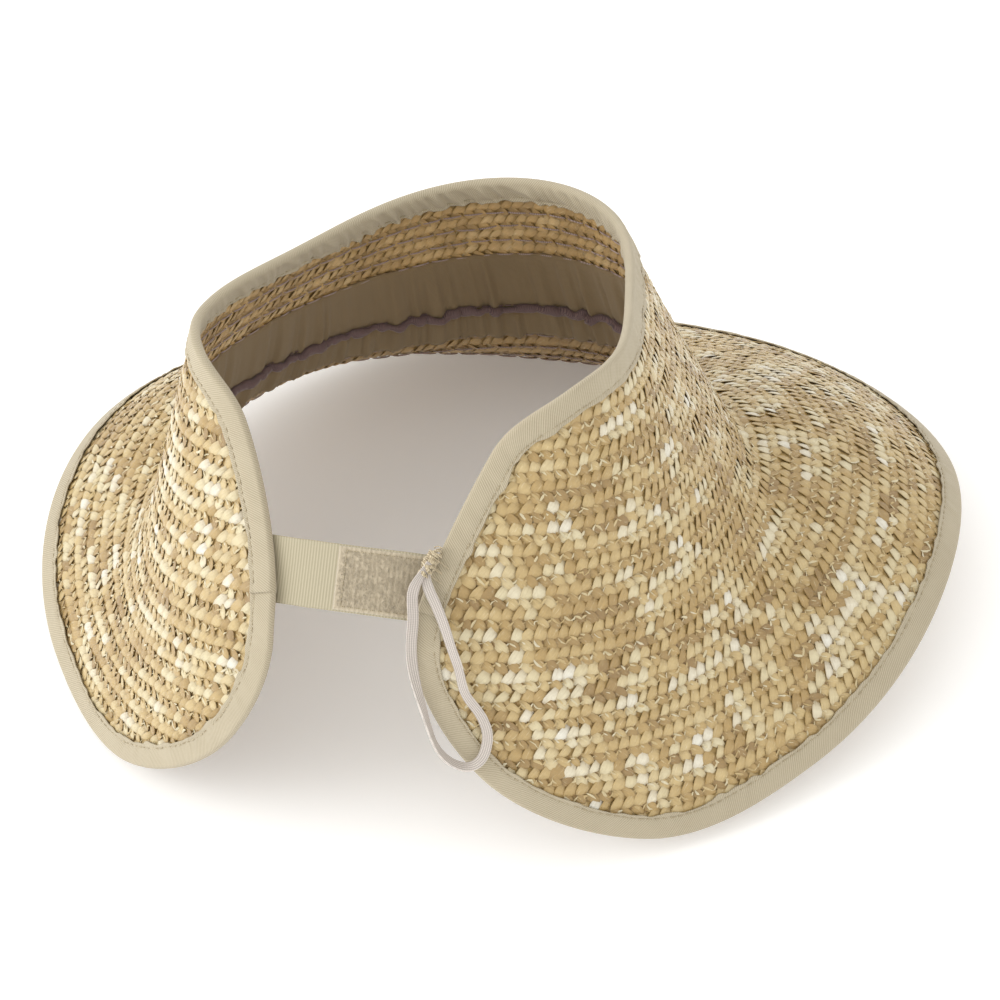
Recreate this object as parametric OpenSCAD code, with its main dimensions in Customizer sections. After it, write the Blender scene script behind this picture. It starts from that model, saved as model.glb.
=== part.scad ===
// Wraparound sun visor of sewn straw braid: a crown ring that is open at the back, a wide brim, cloth
// bindings, a sweatband, a hook-and-loop strap that closes the back, and an elastic loop that holds
// the visor rolled up. Millimetres. The brim's front points to -Y and the visor stands on its brim.
//
// The straw is one curved sheet. A place on it is [turn, run]: turn is the angle round the head from
// the front, in degrees, and run is the distance from the crease, up the crown when negative and
// out on the brim when positive.

/* [Head oval] */
// Half width of the head oval at the crease between crown and brim
oval_half_width = 79; // [70:1:82]
// Half length of the head oval, front to back
oval_half_length = 99; // [92:1:104]
// Share by which the oval widens toward the open back
oval_back_spread = 0.29; // [0:0.01:0.5]

/* [Crown and brim] */
// Height of the crease at the front quarter, side, back quarter and back, over its front
crease_rise = [8, 24, 35, 48]; // [0:1:70]
// Inward lean of the crown at the front, front quarter, side, back quarter and back
crown_lean = [9, 17, 23, 24, 45]; // [0:1:60]
// Slope of the brim below level at the same five places
brim_slope = [8, 4, 24, 70, 76]; // [4:1:80]
// Run over which the crown bends into the brim at the same five places
crease_bend = [34, 6, 26, 34, 6]; // [4:1:40]
// Extra droop of the brim at the front and at the back, in degrees per 10 mm
brim_droop = [7.8, -1.2]; // [-4:0.1:9]

/* [Outline] */
// Crown height, as run, at the turns in TOP_TURNS
crown_top = [72, 72, 72, 72, 70]; // [30:1:80]
// Corners of the back edge as [turn, run], from the crown down to the brim
back_edge = [[147, -53], [167, 1], [159, 48], [137, 72]]; // [-60:1:170]
// Brim width, as run, at the turns in BRIM_TURNS
brim_width = [71, 71, 76, 77, 77]; // [70:1:78]

/* [Braid] */
// Width of one sewn row of braid
row_pitch = 6.4; // [5:0.1:8]
// Thickness of the braid
braid_thick = 1.4; // [1:0.1:2]

/* [Binding] */
// Width of the tape on each face
tape_width = 7; // [6:0.5:10]
// Thickness of the tape
tape_thick = 0.4; // [0.3:0.05:0.6]
// Run on the back edge where the crown binding ends and the brim binding goes in under it
binding_join = -4; // [-10:1:4]

/* [Sweatband] */
// Run up the crown to the sweatband's upper edge
sweatband_top = 40; // [30:1:50]
// Run up the crown to the sweatband's lower edge
sweatband_bottom = 4; // [3:1:12]
// Run up the crown to the seam along the sweatband, below which it is gathered
sweatband_seam = 16; // [14:1:24]
// Turn at which the sweatband ends on each side
sweatband_turn = 135; // [100:1:140]
// Thickness of the sweatband
sweatband_thick = 0.8; // [0.5:0.1:1.2]

/* [Strap] */
// Width of the strap
strap_width = 20; // [18:1:24]
// Thickness of the ribbon
strap_thick = 0.9; // [0.6:0.1:1.2]
// Radius of the strap's bow across the open back
strap_radius = 78; // [72:1:90]
// Run on the back edge at the middle of the strap
strap_run = -11; // [-14:1:-6]
// Lean of the strap away from upright
strap_lean = 40; // [34:1:46]
// Distance from the back edges' middle in to the strap's middle
strap_inset = 3.7; // [3.5:0.1:6]
// Turn of the strap in plan, which lays its left end on the straw and leaves room at the right
strap_skew = 2.5; // [2:0.1:4]
// Length of strap that lies inside the left edge
strap_sewn = 12; // [8:1:16]
// Length of strap that lies inside the right edge
strap_lap = 22; // [16:1:26]
// Thickness of each half of the hook-and-loop tape
patch_thick = 1; // [0.8:0.1:1.4]
// Gap between the two halves when closed
patch_gap = 0.3; // [0.3:0.05:0.6]

/* [Elastic loop] */
// Thickness of a round cord with as much rubber and yarn as the flat elastic
elastic_thick = 2.2; // [2:0.1:3]
// Run on the right back edge where the elastic is tacked
elastic_run = -18; // [-24:1:-12]

/* [Hidden] */
TOP_TURNS = [0, 35, 70, 100, 125];
BRIM_TURNS = [112, 84, 56, 28, 0];
TURN_STEP = 7.5;
// Rough run of one degree of turn, which spaces the outline's curve
MM_PER_DEGREE = 1.7;
CROWN_ROWS = 11;
BRIM_ROWS = 12;
// How far the ends and outer edges of the rows stay inside the edge, so that the tape folds round them
ROW_INSET = 1.2;
// Gap between neighbouring rows
ROW_GAP = 0.16;
THREAD_THICK = 0.35;

// The elastic's route from its tack, down the right back edge, round and up to the tack again, in the
// straw sheet's own frame
ELASTIC_ROUTE = [
    [-27, 84.7, 64.3], [-26, 86.7, 61.3], [-26, 89.7, 58.3], [-28, 92.7, 54.3], [-32, 96.7, 48.3],
    [-35, 100.7, 42.3], [-37, 101.7, 35.3], [-38, 103.7, 28.3], [-42, 103.7, 22.3],
    [-44, 104.7, 16.3], [-44, 105.7, 12.3], [-43, 107.7, 8.3], [-41, 109.7, 6.3], [-37, 110.7, 5.3],
    [-32, 111.7, 9.3], [-29, 110.7, 14.3], [-27, 108.7, 20.3], [-25, 106.7, 27.3],
    [-24, 105.7, 33.3], [-23, 103.7, 39.3], [-23, 101.7, 45.3], [-23, 97.7, 50.3],
    [-22, 94.7, 54.3], [-22, 91.7, 57.3], [-23, 88.7, 60.3], [-24, 86.7, 63.3]];

function row_name(zone, i) = str(zone, "_row_", i < 10 ? "0" : "", i);

// ---- Smooth even waves round the head ----

// Terms of the wave through five values at turns 0, 45, 90, 135 and 180.
function wave_terms(v) = [for (k = [0:4])
    (v[0] / 2 + v[1] * cos(45 * k) + v[2] * cos(90 * k) + v[3] * cos(135 * k) + v[4] / 2 * cos(180 * k))
    / (k == 0 || k == 4 ? 4 : 2)];
function wave(terms, turn) = terms * [for (k = [0:4]) cos(k * turn)];
rise_terms = wave_terms(concat([0], crease_rise));
lean_terms = wave_terms(crown_lean);
slope_terms = wave_terms(brim_slope);
bend_terms = wave_terms(crease_bend);

// ---- The straw sheet ----

// Level and downward travel along an arc that starts at a slope and steepens by curl degrees per mm.
function travel_out(slope, curl, run) = abs(curl) < 0.001
    ? run * cos(slope)
    : (sin(slope + curl * run) - sin(slope)) * 180 / PI / curl;
function travel_up(slope, curl, run) = abs(curl) < 0.001
    ? -run * sin(slope)
    : (cos(slope + curl * run) - cos(slope)) * 180 / PI / curl;

function sheet(turn, run) = let (
    half_width = oval_half_width * (1 + oval_back_spread * (1 - cos(turn)) / 2),
    outward = [sin(turn) / half_width, -cos(turn) / oval_half_length],
    level = outward / norm(outward),
    crown_slope = 90 - wave(lean_terms, turn),
    slope = wave(slope_terms, turn),
    bend = max(wave(bend_terms, turn), 3),
    bend_curl = (slope - crown_slope) / bend,
    droop = (brim_droop[0] * (1 + cos(turn)) + brim_droop[1] * (1 - cos(turn))) / 20,
    up_crown = min(run, 0),
    in_bend = min(max(run, 0), bend),
    past_bend = max(run - bend, 0),
    out = up_crown * cos(crown_slope) + travel_out(crown_slope, bend_curl, in_bend)
        + travel_out(slope, droop, past_bend),
    up = -up_crown * sin(crown_slope) + travel_up(crown_slope, bend_curl, in_bend)
        + travel_up(slope, droop, past_bend))
    [half_width * sin(turn) + level.x * out,
     -oval_half_length * cos(turn) + level.y * out,
     wave(rise_terms, turn) + up];

function along_turn(turn, run) = sheet(turn + 0.5, run) - sheet(turn - 0.5, run);
function along_run(turn, run) = sheet(turn, run + 0.5) - sheet(turn, run - 0.5);
function outer_side(turn, run) = let (n = cross(along_run(turn, run), along_turn(turn, run))) n / norm(n);

// ---- The outline of one half ----

corners = concat(
    [for (i = [0:4]) [TOP_TURNS[i], -crown_top[i]]],
    back_edge,
    [for (i = [0:4]) [BRIM_TURNS[i], brim_width[i]]]);
last_corner = len(corners) - 1;
chain = concat(
    [[-corners[1][0], corners[1][1]]],
    corners,
    [[-corners[last_corner - 1][0], corners[last_corner - 1][1]]]);
function spacing(i) = norm([(chain[i + 1][0] - chain[i][0]) * MM_PER_DEGREE, chain[i + 1][1] - chain[i][1]]);
function heading(i) = (chain[i + 2] - chain[i]) / (spacing(i) + spacing(i + 1));
function edge_curve(i, s) = let (h = spacing(i + 1))
    (2 * pow(s, 3) - 3 * pow(s, 2) + 1) * corners[i]
    + (pow(s, 3) - 2 * pow(s, 2) + s) * h * heading(i)
    + (3 * pow(s, 2) - 2 * pow(s, 3)) * corners[i + 1]
    + (pow(s, 3) - pow(s, 2)) * h * heading(i + 1);
EDGE_PARTS = 12;
outline = concat(
    [for (i = [0:last_corner - 1], j = [0:EDGE_PARTS - 1]) edge_curve(i, j / EDGE_PARTS)],
    [corners[last_corner]]);

// Last turns at which the crown's top and the brim's edge still run along the braid
TOP_LAST_TURN = 120;
BRIM_LAST_TURN = 135;
// Further turns that the tapes take round the two corners of the back edge
TOP_CORNER_TURNS = [124, 128, 132];
BRIM_CORNER_TURNS = [144, 141, 138];
// The back edge's turn at a run, and the runs of the top and of the brim's edge at a turn.
back_part = [for (p = outline) if (p[0] > (p[1] < 0 ? TOP_LAST_TURN : BRIM_LAST_TURN)) [p[1], p[0]]];
function edge_turn(run) = lookup(run, back_part);
widest = max([for (p = outline) p[0]]);
widest_run = [for (p = outline) if (p[0] == widest) p[1]][0];
upper_edge = [for (p = outline) if (p[1] <= widest_run) p];
lower_edge = [for (p = outline) if (p[1] >= widest_run) p];
function top_run(turn) = lookup(turn, upper_edge);
function brim_run(turn) = lookup(turn, lower_edge);

// Half of the edge as stops: along the crown's top by turn, down the back edge at the rows' seams, and
// round the brim by turn. Both the rows and the tapes take their corners from the same stops.
top_stops = [for (t = concat([for (u = [0:TURN_STEP:TOP_LAST_TURN]) u], TOP_CORNER_TURNS)) [t, top_run(t)]];
back_stops = [for (i = [1 - CROWN_ROWS:BRIM_ROWS - 1]) let (r = i * row_pitch)
    if (r > top_run(TOP_LAST_TURN) + 4 && r < brim_run(BRIM_LAST_TURN) - 4) [edge_turn(r), r]];
brim_stops = concat(
    [for (t = BRIM_CORNER_TURNS) [t, brim_run(t)]],
    [for (t = [BRIM_LAST_TURN:-TURN_STEP:0]) [t, brim_run(t)]]);

function flipped(stop) = [-stop[0], stop[1]];
function reversed(list) = [for (i = [len(list) - 1:-1:0]) list[i]];

// The unit direction that runs along a path of stops at stop i.
function path_heading(path, i) = let (
    a = path[max(i - 1, 0)],
    b = path[min(i + 1, len(path) - 1)],
    d = sheet(b[0], b[1]) - sheet(a[0], a[1]))
    d / norm(d);

// The stop that lies some distance in from stop i of a path, at a right angle to the path.
function stepped_in(path, i, distance) = let (
    t = path[i][0],
    r = path[i][1],
    st = along_turn(t, r),
    sr = along_run(t, r),
    side = cross(path_heading(path, i), outer_side(t, r)),
    ee = st * st,
    ff = st * sr,
    gg = sr * sr,
    det = ee * gg - ff * ff,
    dt = (gg * (side * st) - ff * (side * sr)) / det,
    dr = (ee * (side * sr) - ff * (side * st)) / det)
    [t + dt * distance, r + dr * distance];

// A point of a path's own cross section: distance in from the edge, and height over the sheet.
function path_point(path, i, inward, height) = let (p = stepped_in(path, i, inward))
    sheet(p[0], p[1]) + outer_side(p[0], p[1]) * height;

// ---- Solids from rings ----

// A closed solid through rings of points. A ring runs out along one side and back along the other,
// so that point j faces point m - 1 - j.
module ring_solid(rings) {
    m = len(rings[0]);
    last = len(rings) - 1;
    points = [for (ring = rings, p = ring) p];
    walls = [for (i = [0:last - 1], j = [0:m - 1])
        let (a = i * m + j, b = i * m + (j + 1) % m)
        each [[a, b, b + m], [a, b + m, a + m]]];
    near_cap = [for (j = [0:m / 2 - 2])
        each [[j, m - 1 - j, m - 2 - j], [j, m - 2 - j, j + 1]]];
    far_cap = [for (face = near_cap) [face[0] + last * m, face[2] + last * m, face[1] + last * m]];
    polyhedron(points, concat(walls, near_cap, far_cap));
}

// A thin round of four or more sides about each point of a route, for threads and cords.
function round_ring(centre, along, up, radius, sides) = let (across = cross(along, up))
    [for (k = [0:sides - 1]) centre
        + across * radius * cos((k + 0.5) * 360 / sides)
        + up * radius * sin((k + 0.5) * 360 / sides)];

// ---- Where the visor stands ----

straw_half = braid_thick / 2;
tape_inner = straw_half + 0.25;
tape_outer = tape_inner + tape_thick;
// The tape's section as [inward, height], out along its outer face and back along its inner face.
tape_section = [
    [tape_width, tape_outer], [0, tape_outer], [-0.6, tape_outer / 2],
    [-0.6, -tape_outer / 2], [0, -tape_outer], [tape_width, -tape_outer],
    [tape_width, -tape_inner], [0.2, -tape_inner], [-0.1, -tape_inner / 2],
    [-0.1, tape_inner / 2], [0.2, tape_inner], [tape_width, tape_inner]];
JOIN_GAP = 0.3;
crown_half = concat(
    top_stops,
    [for (s = back_stops) if (s[1] < binding_join - 1) s],
    [[edge_turn(binding_join), binding_join]]);
brim_half = concat(
    [[edge_turn(binding_join + JOIN_GAP), binding_join + JOIN_GAP]],
    [for (s = back_stops) if (s[1] > binding_join + 1) s],
    brim_stops);
crown_path = concat(
    [for (i = [len(crown_half) - 1:-1:1]) flipped(crown_half[i])],
    crown_half);
brim_path = concat(brim_half, [for (i = [len(brim_half) - 2:-1:0]) flipped(brim_half[i])]);
function tape_rings(path) = [for (i = [0:len(path) - 1])
    [for (s = tape_section) path_point(path, i, s[0], s[1])]];
crown_tape = tape_rings(crown_path);
brim_tape = tape_rings(brim_path);

tape_ys = [for (ring = concat(crown_tape, brim_tape), p = ring) p.y];
lift = -min([for (ring = brim_tape, p = ring) p.z]);
centring = -(min(tape_ys) + max(tape_ys)) / 2;
module stood() translate([0, centring, lift]) children();

// ---- Braid rows ----

function inset_top(turn) = top_run(turn) + ROW_INSET;
function inset_brim(turn) = brim_run(turn) - ROW_INSET;
back_slope_turns = ROW_INSET / MM_PER_DEGREE;
// The turn at which a seam of the straw meets the inside of the tape's fold.
function seam_turn(run) = edge_turn(
    min(max(run, inset_top(TOP_LAST_TURN)), inset_brim(BRIM_LAST_TURN))) - back_slope_turns;

module braid_row(inner_run, outer_run) {
    a = seam_turn(inner_run);
    b = seam_turn(outer_run);
    short = min(a, b);
    long = max(a, b);
    columns = concat(
        [for (t = [0:TURN_STEP:short - 2]) t],
        [short, short + (long - short) * 0.5, short + (long - short) * 0.92]);
    turns = concat([for (i = [len(columns) - 1:-1:1]) -columns[i]], columns);
    rings = [for (t = turns) let (
        size = abs(t),
        cut = size > short ? (size - short) / (long - short) : 0,
        middle_shift = cut * (outer_run - inner_run),
        r0 = max(a < b ? inner_run + middle_shift : inner_run, size < TOP_LAST_TURN ? inset_top(size) : -999),
        r_end = a < b ? outer_run : outer_run - middle_shift,
        r1 = min(r_end, size < BRIM_LAST_TURN ? inset_brim(size) : 999),
        n0 = outer_side(t, r0) * straw_half,
        n1 = outer_side(t, r1) * straw_half,
        p0 = sheet(t, r0 + ROW_GAP / 2),
        p1 = sheet(t, r1 - ROW_GAP / 2))
        if (r1 - r0 > 0.5) [p1 + n1, p0 + n0, p0 - n0, p1 - n1]];
    stood() ring_solid(rings);
}

module crown_row(i) color(i % 2 == 0 ? "#c9ab6c" : "#d8c490") braid_row(-i * row_pitch, (1 - i) * row_pitch);
module brim_row(i) color(i % 2 == 0 ? "#d2b679" : "#e0cd9c") braid_row((i - 1) * row_pitch, i * row_pitch);

// ---- Bindings and their threads ----

module crown_binding() color("#cdc3aa") stood() ring_solid(crown_tape);
module brim_binding() color("#c8bda2") stood() ring_solid(brim_tape);

module tape_thread(path) {
    rings = [for (i = [1:len(path) - 2]) let (
        p = stepped_in(path, i, tape_width - 1.3),
        up = outer_side(p[0], p[1]),
        centre = sheet(p[0], p[1]) + up * (tape_outer + THREAD_THICK / 2 + 0.02))
        round_ring(centre, path_heading(path, i), up, THREAD_THICK / 2, 4)];
    stood() ring_solid(rings);
}
module crown_binding_thread() color("#b9ae93") tape_thread(crown_path);
module brim_binding_thread() color("#b9ae93") tape_thread(brim_path);

// ---- Sweatband ----

sweatband_gap = 0.35;
// Distance of the seam's thread from the band, whose flat faces bulge a little between their corners
SEAM_CLEAR = 0.2;
module sweatband() color("#9a8a68") {
    near = -straw_half - sweatband_gap;
    far = near - sweatband_thick;
    turns = [for (t = [-sweatband_turn:TURN_STEP:sweatband_turn]) t];
    rings = [for (t = turns) let (
        n0 = outer_side(t, -sweatband_bottom),
        n1 = outer_side(t, -sweatband_top),
        p0 = sheet(t, -sweatband_bottom),
        p1 = sheet(t, -sweatband_top))
        [p0 + n0 * near, p1 + n1 * near, p1 + n1 * far, p0 + n0 * far]];
    stood() ring_solid(rings);
}

module sweatband_thread() color("#8f6f74") {
    run = -sweatband_seam;
    height = -straw_half - sweatband_gap - sweatband_thick - THREAD_THICK / 2 - SEAM_CLEAR;
    turns = [for (t = [TURN_STEP - sweatband_turn:TURN_STEP:sweatband_turn - TURN_STEP]) t];
    path = [for (t = turns) [t, run]];
    rings = [for (i = [0:len(path) - 1]) let (up = outer_side(path[i][0], run))
        round_ring(sheet(path[i][0], run) + up * height, path_heading(path, i), up, THREAD_THICK / 2, 4)];
    stood() ring_solid(rings);
}

// ---- Strap and its hook-and-loop patches ----

strap_edge = sheet(edge_turn(strap_run), strap_run);
strap_rise = sqrt(pow(strap_radius, 2) - pow(strap_edge.x, 2));
// Length along the strap from its middle to either edge of the opening
strap_reach = strap_radius * asin(strap_edge.x / strap_radius) * PI / 180;
strap_left = strap_reach + strap_sewn;
strap_right = -strap_reach - strap_lap;
loop_left = strap_reach * 0.16;
function strap_angle(length) = length * 180 / PI / strap_radius;

// The strap's own frame: Z across its width, Y out of the back, and its bow's centre at the origin.
module on_strap() stood()
    translate([0, strap_edge.y, strap_edge.z])
    rotate([strap_lean, 0, 0])
    translate([0, -strap_inset, 0])
    rotate([0, 0, strap_skew])
    translate([0, -strap_rise, 0])
    children();

// Part of a band on the strap's bow, between two lengths from its middle, at a height over its middle.
module strap_band(right, left, height, thick, width) on_strap()
    rotate([0, 0, 90 - strap_angle(left)])
    rotate_extrude(angle = strap_angle(left - right))
    translate([strap_radius + height, -width / 2])
    square([thick, width]);

module strap_ribbon() color("#d8cfb9")
    strap_band(strap_right, strap_left, -strap_thick / 2, strap_thick, strap_width);

module loop_patch() color("#c9c2ae")
    strap_band(strap_right + 1.5, loop_left, strap_thick / 2, patch_thick, strap_width - 1);

module loop_patch_thread() color("#b5ad98") {
    top = strap_thick / 2 + patch_thick;
    left = loop_left - 2.5;
    right = -strap_reach + 2;
    side = strap_width / 2 - 2;
    strap_band(left - THREAD_THICK, left, top, THREAD_THICK, 2 * side);
    strap_band(right, right + THREAD_THICK, top, THREAD_THICK, 2 * side);
}

hook_height = strap_thick / 2 + patch_thick + patch_gap;
module hook_patch() color("#b8b19c")
    strap_band(strap_right + 3, -strap_reach - 1, hook_height, patch_thick, strap_width - 2);

module strap_bar_tack() color("#b5ad98") {
    low = -strap_thick / 2 - THREAD_THICK;
    strap_band(strap_left - 4, strap_left - 2, low, THREAD_THICK, strap_width - 3);
}

// ---- Elastic loop ----

module elastic_loop() color("#f1efe9") {
    rings = [for (i = [0:len(ELASTIC_ROUTE) - 1]) let (
        before = ELASTIC_ROUTE[max(i - 1, 0)],
        after = ELASTIC_ROUTE[min(i + 1, len(ELASTIC_ROUTE) - 1)],
        along = (after - before) / norm(after - before),
        flat = cross(along, [1, 0, 0]),
        up = flat / norm(flat))
        round_ring(ELASTIC_ROUTE[i], along, up, elastic_thick / 2, 8)];
    stood() ring_solid(rings);
}

// A patch of stitches on the right back edge's outer face that holds both ends of the elastic.
module elastic_tack() color("#d9d3c4") {
    low = tape_outer + 0.05;
    high = low + THREAD_THICK;
    path = [for (r = [elastic_run - 2:1:elastic_run + 2]) flipped([edge_turn(r), r])];
    rings = [for (i = [0:len(path) - 1])
        [path_point(path, i, 1, low), path_point(path, i, 5, low),
         path_point(path, i, 5, high), path_point(path, i, 1, high)]];
    stood() ring_solid(rings);
}

for (i = [1:CROWN_ROWS]) crown_row(i);
for (i = [1:BRIM_ROWS]) brim_row(i);
crown_binding();
brim_binding();
crown_binding_thread();
brim_binding_thread();
sweatband();
sweatband_thread();
strap_ribbon();
loop_patch();
loop_patch_thread();
hook_patch();
strap_bar_tack();
elastic_loop();
elastic_tack();
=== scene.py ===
"""Straw wraparound sun visor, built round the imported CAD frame."""
import math

import bpy
import numpy as np
from mathutils import Matrix, Vector


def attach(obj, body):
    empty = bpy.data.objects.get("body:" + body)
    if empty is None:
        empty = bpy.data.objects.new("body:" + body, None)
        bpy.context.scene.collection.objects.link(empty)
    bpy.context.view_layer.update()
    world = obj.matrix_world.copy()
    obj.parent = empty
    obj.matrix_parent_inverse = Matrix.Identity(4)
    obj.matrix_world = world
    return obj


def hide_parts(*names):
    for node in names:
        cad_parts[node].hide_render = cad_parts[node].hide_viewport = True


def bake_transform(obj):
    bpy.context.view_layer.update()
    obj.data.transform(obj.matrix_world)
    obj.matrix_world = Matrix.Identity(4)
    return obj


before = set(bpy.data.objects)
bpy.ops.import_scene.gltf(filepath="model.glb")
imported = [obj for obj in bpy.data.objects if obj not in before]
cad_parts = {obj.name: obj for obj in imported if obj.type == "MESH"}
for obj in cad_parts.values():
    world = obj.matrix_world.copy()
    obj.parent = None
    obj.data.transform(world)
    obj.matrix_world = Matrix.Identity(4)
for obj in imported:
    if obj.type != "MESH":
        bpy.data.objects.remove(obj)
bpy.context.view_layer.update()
MM = 0.001

# ---------------------------------------------------------------- camera

CAMERA_PLACE = (-0.53975, 1.19487, 1.0919)
CAMERA_AZIMUTH, CAMERA_ELEVATION, CAMERA_ROLL = 204.308, 38.97, -8.646
CAMERA_LENS, SENSOR = 190.7, 36.0


def make_camera():
    az, el, roll = (math.radians(a) for a in (CAMERA_AZIMUTH, CAMERA_ELEVATION, CAMERA_ROLL))
    back = Vector((math.sin(az) * math.cos(el), -math.cos(az) * math.cos(el), math.sin(el)))
    right = Vector((math.cos(az), math.sin(az), 0))
    up = back.cross(right)
    right, up = right * math.cos(roll) + up * math.sin(roll), up * math.cos(roll) - right * math.sin(roll)
    data = bpy.data.cameras.new("camera")
    data.lens = CAMERA_LENS
    data.sensor_width = SENSOR
    data.clip_end = 20
    camera = bpy.data.objects.new("camera", data)
    camera.matrix_world = Matrix((right, up, back)).transposed().to_4x4()
    camera.location = CAMERA_PLACE
    bpy.context.scene.collection.objects.link(camera)
    bpy.context.scene.camera = camera


make_camera()

# ---------------------------------------------------------------- the straw sheet
# The same sheet as the CAD's: turn in degrees round the head from the front, run in mm from the
# crease, up the crown when negative and out on the brim when positive. Results are in mm.

HALF_WIDTH, HALF_LENGTH, BACK_SPREAD = 79, 99, 0.29
CREASE_RISE = [0, 8, 24, 35, 48]
CROWN_LEAN = [9, 17, 23, 24, 45]
BRIM_SLOPE = [8, 4, 24, 70, 76]
CREASE_BEND = [34, 6, 26, 34, 6]
DROOP_FRONT, DROOP_BACK = 7.8, -1.2
CORNERS = np.array([(0, -72), (35, -72), (70, -72), (100, -72), (125, -70), (147, -53), (167, 1), (159, 48),
                    (137, 72), (112, 71), (84, 71), (56, 76), (28, 77), (0, 77)], float)
MM_PER_DEGREE = 1.7
ROW_PITCH = 6.4
CROWN_ROWS, BRIM_ROWS = 11, 12
LIFT, CENTRING = 41.0218, 26.6495
PLACE = np.array([0, CENTRING, LIFT])
BINDING_JOIN = -4
TOP_LAST_TURN, BRIM_LAST_TURN = 120, 135


def wave_terms(v):
    c = [[math.cos(math.radians(45 * k * j)) for j in range(5)] for k in range(5)]
    weight = [0.5, 1, 1, 1, 0.5]
    return np.array([sum(weight[j] * v[j] * c[k][j] for j in range(5)) / (4 if k in (0, 4) else 2)
                     for k in range(5)])


RISE, LEAN, SLOPE, BEND = (wave_terms(v) for v in (CREASE_RISE, CROWN_LEAN, BRIM_SLOPE, CREASE_BEND))


def wave(terms, t):
    return sum(terms[k] * np.cos(k * t) for k in range(5))


def travel(slope, curl, run):
    """Level and upward travel along an arc, with slope in radians and curl in radians per mm."""
    curl = np.where(np.abs(curl) < 2e-5, 2e-5, curl)
    return ((np.sin(slope + curl * run) - np.sin(slope)) / curl,
            (np.cos(slope + curl * run) - np.cos(slope)) / curl)


def sheet(turn, run):
    t = np.radians(np.asarray(turn, float))
    run = np.asarray(run, float)
    half_width = HALF_WIDTH * (1 + BACK_SPREAD * (1 - np.cos(t)) / 2)
    out_x, out_y = np.sin(t) / half_width, -np.cos(t) / HALF_LENGTH
    size = np.hypot(out_x, out_y)
    crown = np.radians(90 - wave(LEAN, t))
    slope = np.radians(wave(SLOPE, t))
    bend = np.maximum(wave(BEND, t), 3)
    droop = np.radians((DROOP_FRONT * (1 + np.cos(t)) + DROOP_BACK * (1 - np.cos(t))) / 20)
    up_crown = np.minimum(run, 0)
    in_bend = np.clip(run, 0, bend)
    past = np.maximum(run - bend, 0)
    out1, up1 = travel(crown, (slope - crown) / bend, in_bend)
    out2, up2 = travel(slope, droop, past)
    out = up_crown * np.cos(crown) + out1 + out2
    up = -up_crown * np.sin(crown) + up1 + up2
    return np.stack([half_width * np.sin(t) + out_x / size * out,
                     -HALF_LENGTH * np.cos(t) + out_y / size * out,
                     wave(RISE, t) + up], -1) + PLACE


def unit(v):
    return v / np.linalg.norm(v, axis=-1, keepdims=True)


def along_turn(turn, run):
    return sheet(turn + 0.5, run) - sheet(turn - 0.5, run)


def along_run(turn, run):
    return sheet(turn, run + 0.5) - sheet(turn, run - 0.5)


def outer_side(turn, run):
    return unit(np.cross(along_run(turn, run), along_turn(turn, run)))


def on_sheet(turn, run, height):
    """Points at a height over the sheet, outer side positive."""
    return sheet(turn, run) + outer_side(turn, run) * np.asarray(height)[..., None]


def make_outline():
    c = CORNERS
    chain = np.vstack([[-c[1, 0], c[1, 1]], c, [-c[-2, 0], c[-2, 1]]])
    step = np.linalg.norm(np.diff(chain, axis=0) * [MM_PER_DEGREE, 1], axis=1)
    heading = (chain[2:] - chain[:-2]) / (step[:-1] + step[1:])[:, None]
    s = np.arange(0, 1, 1 / 24)[:, None]
    parts = []
    for i in range(len(c) - 1):
        h = step[i + 1]
        parts.append((2 * s**3 - 3 * s**2 + 1) * c[i] + (s**3 - 2 * s**2 + s) * h * heading[i]
                     + (3 * s**2 - 2 * s**3) * c[i + 1] + (s**3 - s**2) * h * heading[i + 1])
    return np.vstack(parts + [c[-1:]])


OUTLINE = make_outline()
back = OUTLINE[OUTLINE[:, 0] > np.where(OUTLINE[:, 1] < 0, TOP_LAST_TURN, BRIM_LAST_TURN)]
widest = OUTLINE[:, 0].argmax()
BACK_RUNS, BACK_TURNS = back[:, 1], back[:, 0]
corner_from = np.abs(OUTLINE[: widest, 0] - 112).argmin()
corner_to = widest + np.abs(OUTLINE[widest:, 0] - 114).argmin()
side_part = OUTLINE[corner_from:corner_to]
side_part = side_part[np.argsort(side_part[:, 1])]


def edge_turn(run):
    """The turn at which the straw ends at the back, rounded corners included."""
    return np.interp(run, side_part[:, 1], side_part[:, 0])


def top_run(turn):
    return np.interp(turn, OUTLINE[: widest, 0], OUTLINE[: widest, 1])


def brim_run(turn):
    return np.interp(turn, OUTLINE[widest:, 0][::-1], OUTLINE[widest:, 1][::-1])


# ---------------------------------------------------------------- mesh helpers

def signed_volume(points, faces):
    a, b, c = (points[faces[:, k]] for k in range(3))
    total = np.einsum("ij,ij->", a, np.cross(b, c))
    if faces.shape[1] == 4:
        d = points[faces[:, 3]]
        total += np.einsum("ij,ij->", a, np.cross(c, d))
    return total / 6


def outward(points, faces):
    return faces[:, ::-1] if signed_volume(points - points.mean(0), faces) < 0 else faces


def ring_faces(count, rings, ring):
    """Quads of count separate tubes, each of so many rings of so many points, with capped ends."""
    r, k = np.meshgrid(np.arange(rings - 1), np.arange(ring), indexing="ij")
    r, k = r.ravel(), k.ravel()
    k2 = (k + 1) % ring
    one = np.stack([r * ring + k, r * ring + k2, (r + 1) * ring + k2, (r + 1) * ring + k], 1)
    start = np.arange(count)[:, None, None] * rings * ring
    quads = (one[None] + start).reshape(-1, 4)
    j = np.arange(ring // 2 - 1)
    cap = np.stack([j, ring - 1 - j, ring - 2 - j, j + 1], 1)
    near = (cap[None] + start).reshape(-1, 4)
    far = (cap[:, ::-1][None] + (rings - 1) * ring + start).reshape(-1, 4)
    return np.vstack([quads, near, far])


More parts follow.
